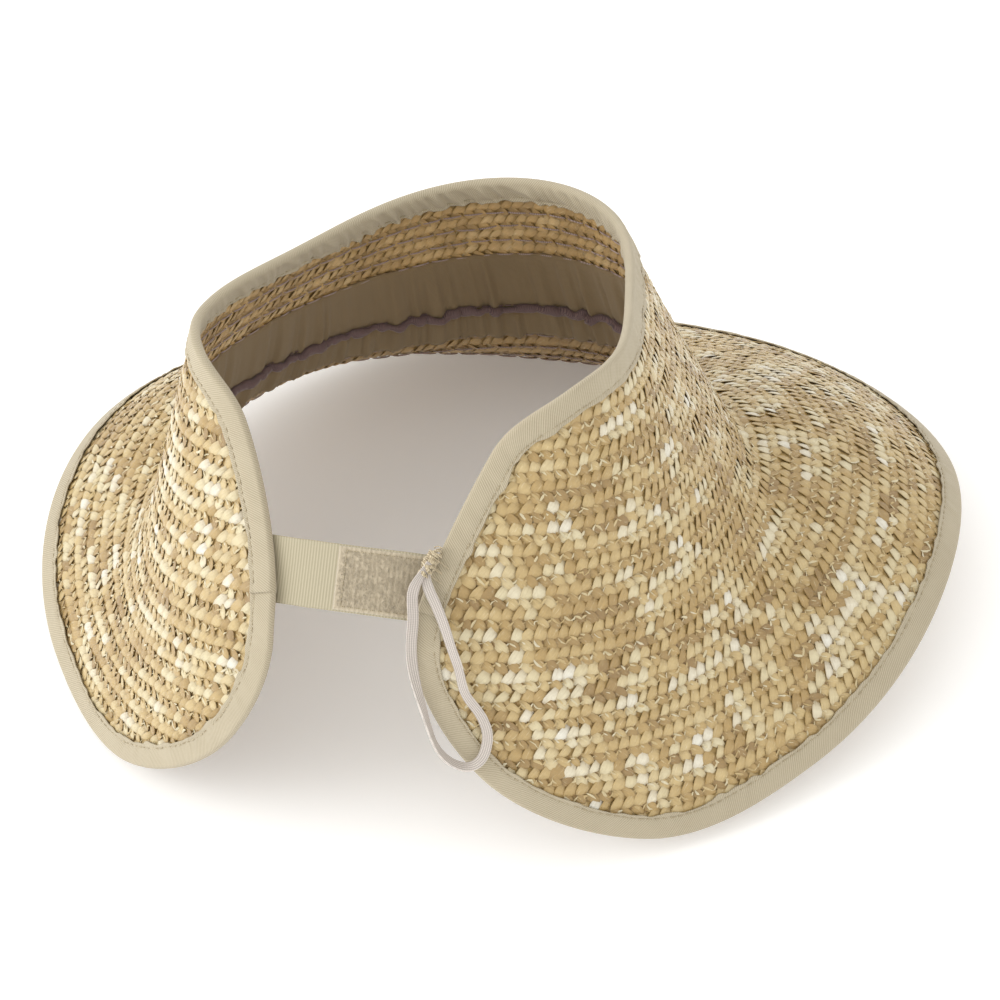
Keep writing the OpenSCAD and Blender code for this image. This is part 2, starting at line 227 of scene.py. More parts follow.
class Piece:
    """Collects closed solids with per-point values, and makes one object from them."""

    def __init__(self):
        self.points, self.faces, self.slots, self.values, self.count = [], [], [], {}, 0

    def add(self, points, faces, material=0, **values):
        points = np.asarray(points, float).reshape(-1, 3)
        faces = outward(points, np.asarray(faces))
        self.points.append(points)
        self.faces.append(faces + self.count)
        self.slots.append(np.full(len(faces), material))
        for name, value in values.items():
            self.values.setdefault(name, []).append((self.count, np.asarray(value, float)))
        self.count += len(points)

    def tubes(self, points, material=0, **values):
        """points is (count, rings, ring, 3); the values are (count, rings, ring[, 3])."""
        count, rings, ring = points.shape[:3]
        flat = {name: np.asarray(value).reshape((count * rings * ring,) + np.shape(value)[3:])
                for name, value in values.items()}
        self.add(points, ring_faces(count, rings, ring), material, **flat)

    def build(self, name, body, slot, materials, replaces=(), smooth=True):
        mesh = bpy.data.meshes.new(name)
        points = np.vstack(self.points) * MM
        faces = np.vstack(self.faces)
        mesh.vertices.add(len(points))
        mesh.vertices.foreach_set("co", points.astype(np.float32).ravel())
        mesh.loops.add(faces.size)
        mesh.loops.foreach_set("vertex_index", faces.astype(np.int32).ravel())
        mesh.polygons.add(len(faces))
        mesh.polygons.foreach_set("loop_start", np.arange(0, faces.size, 4, dtype=np.int32))
        mesh.polygons.foreach_set("loop_total", np.full(len(faces), 4, np.int32))
        mesh.polygons.foreach_set("material_index", np.concatenate(self.slots).astype(np.int32))
        mesh.polygons.foreach_set("use_smooth", np.full(len(faces), smooth))
        for attribute, parts in self.values.items():
            wide = parts[0][1].ndim == 2
            data = np.zeros((len(points), 3) if wide else len(points))
            for start, value in parts:
                data[start:start + len(value)] = value
            layer = mesh.attributes.new(attribute, "FLOAT_VECTOR" if wide else "FLOAT", "POINT")
            layer.data.foreach_set("vector" if wide else "value", data.astype(np.float32).ravel())
        mesh.update()
        mesh.validate()
        piece = bpy.data.objects.new(name, mesh)
        bpy.context.scene.collection.objects.link(piece)
        for material in materials:
            mesh.materials.append(material)
        if isinstance(body, str):
            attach(piece, body)
        else:
            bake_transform(piece)
        if replaces:
            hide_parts(*replaces)
        return piece


def thread_tube(path, radius, sides=6):
    """Rings of one tube along points, as (1, rings, sides, 3)."""
    path = np.asarray(path, float)
    along = unit(np.gradient(path, axis=0))
    ref = np.where(np.abs(along[:, 2:3]) < 0.9, [[0, 0, 1.0]], [[1.0, 0, 0]])
    across = unit(np.cross(along, ref))
    up = np.cross(across, along)
    a = (np.arange(sides) + 0.5) * 2 * math.pi / sides
    radius = np.broadcast_to(np.asarray(radius, float), (len(path),))[:, None, None]
    ring = across[:, None] * np.cos(a)[None, :, None] + up[:, None] * np.sin(a)[None, :, None]
    return (path[:, None] + ring * radius)[None]


def stitch_tubes(start, end, up, radius, rise):
    """Short stitches from start to end points, each arched by rise along up, as (n, rings, 6, 3)."""
    u = np.array([0, 0.08, 0.3, 0.7, 0.92, 1.0])
    fat = np.array([0.45, 0.9, 1, 1, 0.9, 0.45])
    hump = np.array([-0.9, 0, 1, 1, 0, -0.9])
    along = unit(end - start)
    across = np.cross(along, up)
    centre = (start[:, None] + (end - start)[:, None] * u[None, :, None]
              + up[:, None] * (hump * rise)[None, :, None])
    a = (np.arange(6) + 0.5) * math.pi / 3
    ring = across[:, None] * np.cos(a)[None, :, None] + up[:, None] * np.sin(a)[None, :, None]
    return centre[:, :, None] + ring[:, None] * (fat * radius)[None, :, None, None]


def shell(outer, inner, values):
    """A closed solid between two equal grids of points."""
    rows = np.concatenate([outer, inner[:, ::-1]], 1)
    return rows[None], {n: np.concatenate([v, v[:, ::-1]], 1)[None] for n, v in values.items()}


def cloth_shell(outer, inner, length, across):
    """A piece of one closed shell, whose cloth value holds (length, across, 0) in mm."""
    grid = outer.shape[:2]
    coords = np.stack([np.broadcast_to(length, grid), np.broadcast_to(across, grid), np.zeros(grid)], -1)
    points, values = shell(outer, inner, {"cloth": coords})
    piece = Piece()
    piece.tubes(points, 0, **values)
    return piece


# ---------------------------------------------------------------- materials

class Nodes:
    def __init__(self, name):
        self.material = bpy.data.materials.new(name)
        self.material.use_nodes = True
        self.tree = self.material.node_tree
        self.shader = self.tree.nodes["Principled BSDF"]

    def node(self, kind, inputs=(), **props):
        n = self.tree.nodes.new(kind)
        for key, value in props.items():
            setattr(n, key, value)
        for key, value in dict(inputs).items():
            self.put(n.inputs[key], value)
        return n

    def put(self, socket, value):
        if isinstance(value, bpy.types.NodeSocket):
            self.tree.links.new(value, socket)
        else:
            socket.default_value = value

    def set(self, **values):
        for key, value in values.items():
            self.put(self.shader.inputs[key.replace("_", " ")], value)

    def attribute(self, name, output):
        return self.node("ShaderNodeAttribute", attribute_name=name).outputs[output]

    def math(self, operation, a, b=0.0, c=0.0, clamp=False):
        n = self.node("ShaderNodeMath", operation=operation, use_clamp=clamp)
        for socket, value in zip(n.inputs, (a, b, c)):
            self.put(socket, value)
        return n.outputs[0]

    def stretch(self, vector, scale, rotation=(0, 0, 0)):
        mapping = self.node("ShaderNodeMapping", {"Vector": vector, "Scale": scale, "Rotation": rotation})
        return mapping.outputs[0]

    def noise(self, vector, scale, detail=2.0, roughness=0.5):
        return self.node("ShaderNodeTexNoise", {"Vector": vector, "Scale": scale, "Detail": detail,
                                                "Roughness": roughness}).outputs["Fac"]

    def ribs(self, vector, period, distortion=0.0, direction="X"):
        """Sine ribs, 0 to 1, with the period in the vector's own unit."""
        return self.node("ShaderNodeTexWave", {"Vector": vector, "Scale": 0.3142 / period,
                                               "Distortion": distortion, "Detail Scale": 1.5},
                         bands_direction=direction).outputs["Fac"]

    def ramp(self, fac, stops):
        n = self.node("ShaderNodeValToRGB", {"Fac": fac})
        elements = n.color_ramp.elements
        while len(elements) < len(stops):
            elements.new(0.5)
        for element, (place, colour) in zip(elements, stops):
            element.position = place
            element.color = (*colour, 1)
        return n.outputs["Color"]

    def mix(self, fac, a, b, blend="MIX"):
        n = self.node("ShaderNodeMix", data_type="RGBA", blend_type=blend)
        for socket, value in ((n.inputs[0], fac), (n.inputs[6], a), (n.inputs[7], b)):
            self.put(socket, (*value, 1) if isinstance(value, tuple) and len(value) == 3 else value)
        return n.outputs[2]

    def bump(self, height, distance, strength=1.0):
        n = self.node("ShaderNodeBump", {"Height": height, "Distance": distance, "Strength": strength})
        self.put(self.shader.inputs["Normal"], n.outputs[0])


def rgb(red, green, blue):
    """Linear colour from the usual 0 to 255 values."""
    return tuple((c / 255 / 12.92) if c <= 10 else ((c / 255 + 0.055) / 1.055) ** 2.4
                 for c in (red, green, blue))


def straw_material(name):
    m = Nodes(name)
    tone = m.attribute("tone", "Fac")
    tuck = m.attribute("tuck", "Fac")
    grain = m.attribute("grain", "Vector")
    outer = [(0.0, (148, 118, 66)), (0.25, (181, 151, 92)), (0.5, (204, 180, 126)),
             (0.72, (220, 208, 170)), (0.88, (228, 220, 197)), (1.0, (234, 231, 217))]
    inner = [(0.0, (140, 108, 60)), (0.5, (208, 172, 110)), (1.0, (240, 214, 160))]
    base = m.mix(m.attribute("inside", "Fac"),
                 m.ramp(tone, [(place, rgb(*colour)) for place, colour in outer]),
                 m.ramp(tone, [(place, rgb(*colour)) for place, colour in inner]))
    streak = m.noise(m.stretch(grain, (0.3, 2.3, 1.0)), 1.0, 4.0, 0.7)
    blotch = m.noise(m.stretch(grain, (0.5, 0.5, 1.0)), 0.6, 2.0)
    dark = m.mix(m.math("MULTIPLY", streak, 0.5), base, rgb(146, 118, 68))
    base = m.mix(m.math("MULTIPLY_ADD", streak, 3.0, -1.4, clamp=True), base, dark)
    shine = m.noise(m.stretch(grain, (0.22, 1.7, 1.0)), 1.7, 3.0, 0.6)
    base = m.mix(m.math("MULTIPLY_ADD", shine, 3.2, -1.9, clamp=True), base, rgb(242, 230, 196))
    base = m.mix(m.math("MULTIPLY_ADD", blotch, 1.2, -0.72, clamp=True), base, rgb(206, 184, 130))
    # Painted shade: the tuck values darken each straw towards its ends and borders, where it passes under
    # its neighbours.
    base = m.mix(m.math("MULTIPLY", tuck, 0.55), base, rgb(140, 112, 60))
    m.set(Base_Color=base, Roughness=m.math("MULTIPLY_ADD", streak, 0.25, 0.3),
          Specular_IOR_Level=0.7, Coat_Weight=0.4, Coat_Roughness=0.25)
    fine = m.noise(m.stretch(grain, (0.25, 7.0, 1.0)), 1.0, 3.0, 0.6)
    m.bump(fine, 0.0004, 0.7)
    return m.material


def core_material():
    m = Nodes("straw_core")
    place = m.node("ShaderNodeTexCoord").outputs["Object"]
    mottle = m.noise(place, 900.0, 3.0)
    # Painted shade: the core's straw colour is darker than the straws', so the gaps between straws read as
    # shaded.
    m.set(Base_Color=m.mix(mottle, rgb(138, 112, 64), rgb(172, 146, 94)), Roughness=0.8)
    m.bump(mottle, 0.0003, 0.6)
    return m.material


def twill_material(name, light, dark, period=0.62, slant=38.0, sheen=0.15):
    """Woven tape: cloth holds (length, width, side) in mm."""
    m = Nodes(name)
    cloth = m.attribute("cloth", "Vector")
    rib = m.ribs(m.stretch(cloth, (1, 1, 1), (0, 0, math.radians(slant))), period, 0.4)
    weft = m.ribs(m.stretch(cloth, (1, 1, 1), (0, 0, math.radians(slant + 78))), period * 0.62, 0.6)
    fuzz = m.noise(cloth, 2.3, 3.0, 0.6)
    broad = m.noise(cloth, 0.09, 2.0)
    weave = m.math("MULTIPLY_ADD", weft, 0.3, m.math("MULTIPLY", rib, 0.7))
    base = m.mix(m.math("MULTIPLY_ADD", weave, 0.75, 0.2, clamp=True), dark, light)
    base = m.mix(m.math("MULTIPLY_ADD", broad, 0.9, -0.3, clamp=True), base,
                 tuple(0.86 * c for c in light))
    base = m.mix(m.math("MULTIPLY", fuzz, 0.25), base, tuple(min(1.0, 1.12 * c) for c in light))
    m.set(Base_Color=base, Roughness=0.86, Sheen_Weight=sheen, Sheen_Roughness=0.5)
    m.bump(m.math("MULTIPLY_ADD", fuzz, 0.35, weave), 0.00012, 0.8)
    return m.material


def rib_material(name, light, dark, period, direction="X", cross=0.35, sheen=0.2):
    """Straight-ribbed ribbon or elastic."""
    m = Nodes(name)
    cloth = m.attribute("cloth", "Vector")
    rib = m.ribs(cloth, period, 0.25, direction)
    other = m.ribs(cloth, cross, 0.5, "Y" if direction == "X" else "X")
    fuzz = m.noise(cloth, 2.8, 3.0, 0.6)
    weave = m.math("MULTIPLY_ADD", other, 0.25, m.math("MULTIPLY", rib, 0.75))
    base = m.mix(m.math("MULTIPLY_ADD", weave, 0.8, 0.15, clamp=True), dark, light)
    base = m.mix(m.math("MULTIPLY", fuzz, 0.2), base, tuple(0.88 * c for c in light))
    m.set(Base_Color=base, Roughness=0.72, Sheen_Weight=sheen, Sheen_Roughness=0.4)
    m.bump(m.math("MULTIPLY_ADD", fuzz, 0.3, weave), 0.0001, 0.7)
    return m.material


def thread_material(name, light, dark):
    m = Nodes(name)
    place = m.node("ShaderNodeTexCoord").outputs["Object"]
    twist = m.node("ShaderNodeTexWave", {"Vector": place, "Scale": 900.0, "Distortion": 1.0},
                   bands_direction="DIAGONAL").outputs["Fac"]
    m.set(Base_Color=m.mix(twist, dark, light), Roughness=0.65, Sheen_Weight=0.2)
    m.bump(twist, 0.00004, 0.8)
    return m.material


def pile_material(name, light, dark):
    """Fuzzy pile in ridges across its tape: cloth holds (length, width, side) in mm."""
    m = Nodes(name)
    cloth = m.attribute("cloth", "Vector")
    fuzz = m.noise(cloth, 2.2, 4.0, 0.7)
    ridges = m.ribs(cloth, 1.5, 1.2)
    patch_ = m.noise(cloth, 0.25, 2.0)
    lit = m.math("MULTIPLY_ADD", fuzz, 1.1, m.math("MULTIPLY_ADD", ridges, 0.4, -0.35), clamp=True)
    base = m.mix(lit, dark, light)
    base = m.mix(m.math("MULTIPLY", patch_, 0.2), base, tuple(0.9 * c for c in light))
    m.set(Base_Color=base, Roughness=0.95, Sheen_Weight=0.4, Sheen_Roughness=0.6)
    m.bump(m.math("MULTIPLY_ADD", ridges, 0.6, fuzz), 0.0004, 0.8)
    return m.material


STRAW = straw_material("straw")
CORE = core_material()
TAPE = twill_material("binding_tape", rgb(198, 187, 162), rgb(120, 107, 83))
SWEAT = twill_material("sweatband_cloth", rgb(142, 122, 90), rgb(104, 86, 60), 0.5, 82.0, 0.1)
RIBBON = rib_material("ribbon", rgb(192, 183, 157), rgb(142, 133, 108), 0.95)
ELASTIC = rib_material("elastic", rgb(222, 214, 206), rgb(126, 116, 108), 1.0, "Y", 0.5, 0.1)
THREAD = thread_material("thread", rgb(186, 173, 144), rgb(138, 124, 96))
MAUVE = thread_material("mauve_thread", rgb(124, 100, 98), rgb(80, 62, 64))
TACK = thread_material("tack_thread", rgb(214, 201, 172), rgb(158, 140, 108))
SEAM = thread_material("row_seam_thread", rgb(176, 158, 150), rgb(128, 108, 102))
LOOP = pile_material("loop_pile", rgb(208, 195, 170), rgb(172, 158, 132))
HOOK = pile_material("hook_pile", rgb(204, 192, 166), rgb(152, 140, 114))

# ---------------------------------------------------------------- plaited straw rows

STEP = 3.75          # distance between straws along a row
STRAW_THICK = 0.35
STRAW_SHARE = 0.86   # a straw's section as a share of half its width
STRAW_ROOM = 1.3     # least distance from a straw's middle to the sheet's edge
FLAKE_ROOM = 3.5     # and from a flake's ends
FLAKE_FLATNESS = 0.34
FREE = 99            # distance to an edge that isn't near
PALE_SHARE = 0.46    # share of the runs of straws that are pale
SECTION = np.array([(-1, -0.7), (-0.94, 0.05), (-0.35, 0.85), (0.2, 1.0), (0.94, 0.25), (1, -0.7)])
# One line of straw segments: from and to across the row, run-on along the row, width, height at
# start, crest and end, and how far it rolls over its neighbour
LINES = {
    "main": dict(across=(-3.4, 1.2), shift=-4.2, width=4.0, height=(0.1, 0.7, 0.3), roll=0.25),
    "second": dict(across=(0.4, 3.8), shift=3.5, width=4.0, height=(0.0, 0.5, 0.5), roll=-0.26),
}
STATIONS = np.array([0, 0.12, 0.32, 0.58, 0.84, 1.0])
PROFILE = np.array([-0.45, 0.35, 0.92, 1.0, 0.62, -0.1])
FATNESS = np.array([0.55, 0.88, 1.03, 1.03, 0.82, 0.42])


def row_lengths(run, sign):
    """Turns at even lengths along one row, from a fine table."""
    t = np.linspace(0, 175, 701) * sign
    p = sheet(t, np.full_like(t, run))
    s = np.concatenate([[0], np.cumsum(np.linalg.norm(np.diff(p, axis=0), axis=1))])
    return s, np.abs(t)


def straw_tones(rng, count):
    """Tone of each straw segment: a run of neighbours keeps one colour, and some runs are pale."""
    tones = np.zeros(count)
    i = 0
    while i < count:
        if rng.rand() < PALE_SHARE:
            last = i + rng.randint(1, 3)
            tones[i:last] = rng.uniform(0.58, 0.9)
        else:
            last = i + rng.randint(1, 5)
            tones[i:last] = rng.normal(0.4, 0.11)
        i = last
    return np.clip(tones + rng.normal(0, 0.09, count), 0.02, 1.0)


def plait_flakes(piece, rng, middle, s_right, s_left, turns, reach_right, reach_left):
    """The folded edges of the straws, which stand up in flakes along a row's outer side."""
    count = int((reach_right + reach_left) / STEP)
    s = -reach_right + (0.3 + np.arange(count)) * STEP
    wide, thin = rng.rand(count) < 0.9, rng.rand(count) < 0.85

    def spot(along, across, height):
        along = s + along * STEP + rng.normal(0, 0.3, count)
        run = middle + across + rng.normal(0, 0.28, count)
        far = np.where(along < 0, np.interp(-along, s_right, turns), np.interp(along, s_left, turns))
        room = np.minimum(edge_turn(run) - far, np.minimum(brim_run(far) - run, run - top_run(far)))
        height = height + rng.normal(0, 0.08, count)
        turn = np.sign(along) * far
        return on_sheet(turn, run, height), outer_side(turn, run), room > FLAKE_ROOM

    low, up, inside_low = spot(0.0, 0.7, 0.76)
    high, _, inside_high = spot(0.52, 2.75, 0.62)
    far_low, _, inside_far = spot(1.0, 1.1, 0.76)
    for a, b, chosen, fat in ((low, high, wide & inside_low & inside_high, (0.16, 0.55)),
                              (high, far_low, thin & inside_high & inside_far, (0.16, 0.5))):
        a, b, lift = a[chosen], b[chosen], up[chosen]
        n = len(a)
        u = np.array([0, 0.2, 0.55, 0.9, 1.0])
        size = rng.uniform(*fat, n)[:, None] * np.array([0.3, 0.8, 1, 0.6, 0.2])[None]
        along = unit(b - a)
        across = unit(np.cross(along, lift) + 0.35 * lift * rng.normal(0, 1, n)[:, None])
        rise = np.cross(across, along)
        bow = rng.normal(0, 0.35, n)[:, None] * np.sin(u * math.pi)[None]
        centre = a[:, None] + (b - a)[:, None] * u[None, :, None] + across[:, None] * bow[..., None]
        angles = (np.arange(6) + 0.5) * math.pi / 3
        ring = (across[:, None] * np.cos(angles)[None, :, None]
                + rise[:, None] * (FLAKE_FLATNESS * np.sin(angles))[None, :, None])
        points = centre[:, :, None] + ring[:, None] * size[:, :, None, None]
        shape = points.shape[:3]
        tone = np.broadcast_to(rng.uniform(0.4, 0.8, n)[:, None, None], shape)
        grain = np.stack([np.broadcast_to(u[None, :, None] * 4, shape),
                          np.broadcast_to(np.cos(angles)[None, None], shape),
                          np.broadcast_to(rng.uniform(0, 500, n)[:, None, None], shape)], -1)
        piece.tubes(points, 0, tone=tone, tuck=np.zeros(shape), inside=np.zeros(shape), grain=grain)


def plait_side(piece, rng, inner_run, face):
    """The straws of one face of a row: face is 1 outside and -1 inside."""
    middle = inner_run + ROW_PITCH / 2
    s_right, turns = row_lengths(middle, -1)
    s_left = row_lengths(middle, 1)[0]
    limit = edge_turn(middle)
    reach_right = np.interp(limit, turns, s_right)
    reach_left = np.interp(limit, turns, s_left)
    n = int((reach_right + reach_left) / STEP) + 1
    tones = straw_tones(rng, n)
    if face > 0:
        plait_flakes(piece, rng, middle, s_right, s_left, turns, reach_right, reach_left)
    else:
        # Inside faces: tones pulled towards the middle and capped at 0.75; on all brim rows and the first
        # crown row, next to the crease, they are also cut to 0.45 as painted shade.
        tones = np.clip(0.5 + 0.55 * (tones - 0.5), 0, 0.75) * (0.45 if inner_run > -ROW_PITCH - 1 else 1)
    for line_name, line in LINES.items():
        s0 = -reach_right + (np.arange(n) + (0.5 if line_name == "second" else 0)) * STEP
        s0 = s0 + rng.normal(0, 0.2, n)
        y0 = line["across"][0] + rng.normal(0, 0.18, n)
        y1 = line["across"][1] + rng.normal(0, 0.2, n)
        shift = line["shift"] * face * (1 + rng.normal(0, 0.16, n))
        width = line["width"] * (1 + rng.normal(0, 0.1, n))
        u = STATIONS[None, :, None]
        v = SECTION[None, None, :, 0]
        cy = y0[:, None, None] + (y1 - y0)[:, None, None] * u
        cs = s0[:, None, None] + shift[:, None, None] * (u - 0.5)
        length = np.hypot(y1 - y0, shift)
        px = -(y1 - y0) / length
        py = shift / length
        half = (width / 2)[:, None, None] * FATNESS[None, :, None] * STRAW_SHARE
        bow = (0.22 * np.sin(math.pi * STATIONS))[None, :, None]
        s = cs + px[:, None, None] * v * half + bow
        y = cy + py[:, None, None] * v * half
        low, crest, last = line["height"]
        rise = np.interp(STATIONS, [0, 0.45, 1], [low, crest, last])
        top = (rise + 0.15 * PROFILE)[None, :, None] + rng.normal(0, 0.05, n)[:, None, None]
        thick = STRAW_THICK * FATNESS[None, :, None]
        arch = SECTION[None, None, :, 1]
        roll = (line["roll"] + rng.normal(0, 0.13, n))[:, None, None]
        h = top + thick * (arch - 0.6) * 0.8 + roll * v * face
        h = h + 0.05 * y / 3.2
        s = np.broadcast_to(s, h.shape)
        far = np.where(s < 0, np.interp(-s, s_right, turns), np.interp(s, s_left, turns))
        turn = np.sign(s) * far
        run = middle + np.broadcast_to(y, h.shape)
        centre_turn = np.abs(turn[:, 2, 2])
        centre_run = run[:, 2, 2]
        room = (edge_turn(centre_run) - centre_turn) * MM_PER_DEGREE
        room = np.minimum(room, np.where(centre_turn < 125, centre_run - top_run(centre_turn), FREE))
        room = np.minimum(room, np.where(centre_turn < 130, brim_run(centre_turn) - centre_run, FREE))
        keep = room > STRAW_ROOM
        flat = np.clip((room - 6.5) / 4, 0, 1)[:, None, None]
        h = h * (0.74 + 0.26 * flat)
        turn, run, h = turn[keep], run[keep], h[keep]
        size = np.minimum(np.abs(turn), edge_turn(run) - 0.4)
        run = np.clip(run, top_run(size) + 0.6, brim_run(size) - 0.6)
        turn = np.sign(turn) * size
        points = on_sheet(turn, run, h * face)
        m = len(points)
        tone = np.broadcast_to(tones[keep][:, None, None] - (0.2 if line_name == "second" else 0), h.shape)
        # Painted shade: the tuck values, 1 at a straw's ends and borders and 0 on its crest, darken it where
        # it goes under its neighbours.
        ends = np.array([1, 0.85, 0.35, 0.0, 0.15, 0.9])[None, :, None]
        borders = np.array([1, 0.45, 0.0, 0.0, 0.2, 0.9])[None, None, :]
        tuck = np.broadcast_to(1 - (1 - ends) * (1 - borders), h.shape)
        grain = np.stack([np.broadcast_to(u * 5, h.shape), np.broadcast_to(v * 1.5, h.shape),
                          np.broadcast_to(rng.uniform(0, 500, m)[:, None, None], h.shape)], -1)
        piece.tubes(points, 0, tone=np.clip(tone, 0, 1), tuck=tuck, grain=grain,
                    inside=np.full(h.shape, float(face < 0)))


def plait_core(piece, inner_run):
    """The plait's hidden inner layer, which closes the gaps between straws."""
    y = np.array([0.25, 1.8, 3.2, 4.6, 6.15])
    run = inner_run + y
    limit = edge_turn(run) - 1.6
    share = np.linspace(-1, 1, 181)
    turn = share[:, None] * limit[None, :]
    runs = np.broadcast_to(run, turn.shape)
    size = np.abs(turn)
    runs = np.clip(runs, top_run(size) + 1.3, brim_run(size) - 1.3)
    outer = on_sheet(turn, runs, np.full(turn.shape, 0.12))
    inner = on_sheet(turn, runs, np.full(turn.shape, -0.12))
    points, values = shell(outer, inner, {})
    piece.tubes(points, 1)


def make_rows():
    for zone, rows in (("crown", CROWN_ROWS), ("brim", BRIM_ROWS)):
        for i in range(rows):
            rng = np.random.RandomState(100 * (zone == "brim") + i + 7)
            inner_run = (-(i + 1) if zone == "crown" else i) * ROW_PITCH
            piece = Piece()
            for face in (1, -1):
                plait_side(piece, rng, inner_run, face)
            plait_core(piece, inner_run)
            name = "%s_row_%02d" % (zone, i + 1)
            piece.build("plait_" + name, "visor", "straw", [STRAW, CORE], [name], smooth=False)


make_rows()

# ---------------------------------------------------------------- paths along the edges

def path_points(path):
    return sheet(path[:, 0], path[:, 1])


def even_path(path, step):
    """The path's stops at even steps of length."""
    p = path_points(path)
    s = np.concatenate([[0], np.cumsum(np.linalg.norm(np.diff(p, axis=0), axis=1))])
    n = int(s[-1] / step) + 1
    at = np.linspace(0, s[-1], n)
    return np.stack([np.interp(at, s, path[:, 0]), np.interp(at, s, path[:, 1])], 1), at


def stepped_in(path, distance):
    """Turn and run of points a distance in from each stop; distance is (stops, k)."""
    t, r = path[:, 0], path[:, 1]
    p = path_points(path)
    heading = unit(np.gradient(p, axis=0))
    st, sr = along_turn(t, r), along_run(t, r)
    side = np.cross(heading, outer_side(t, r))
    ee, ff, gg = (st * st).sum(1), (st * sr).sum(1), (sr * sr).sum(1)
    a, b = (side * st).sum(1), (side * sr).sum(1)
    det = ee * gg - ff * ff
    dt, dr = (gg * a - ff * b) / det, (ee * b - ff * a) / det
    return t[:, None] + dt[:, None] * distance, r[:, None] + dr[:, None] * distance


crown_cut = np.nonzero((OUTLINE[:, 1] > BINDING_JOIN) & (OUTLINE[:, 0] > 130))[0][0]
crown_half = np.vstack([OUTLINE[:crown_cut], [np.interp(BINDING_JOIN, BACK_RUNS, BACK_TURNS), BINDING_JOIN]])
brim_start = BINDING_JOIN - 2.5
brim_cut = np.nonzero((OUTLINE[:, 1] > brim_start + 0.3) & (OUTLINE[:, 0] > 130))[0][0]
brim_half = np.vstack([[np.interp(brim_start, BACK_RUNS, BACK_TURNS), brim_start], OUTLINE[brim_cut:]])
flip = np.array([-1, 1])
crown_path = np.vstack([crown_half[:0:-1] * flip, crown_half])
brim_path = np.vstack([brim_half, brim_half[-2::-1] * flip])

TAPE_WIDTH, STITCH_IN, TAPE_LOW, TAPE_HIGH = 7.0, 5.7, 1.12, 1.5
TAPE_STITCH, PLEAT_PITCH = 2.8, 5.2


def smooth_noise(rng, length, wavelength, at):
    knots = rng.normal(0, 1, int(length / wavelength) + 4)
    x = at / wavelength
    i = np.floor(x).astype(int)
    f = x - i
    f = f * f * (3 - 2 * f)
    return knots[i] * (1 - f) + knots[i + 1] * f


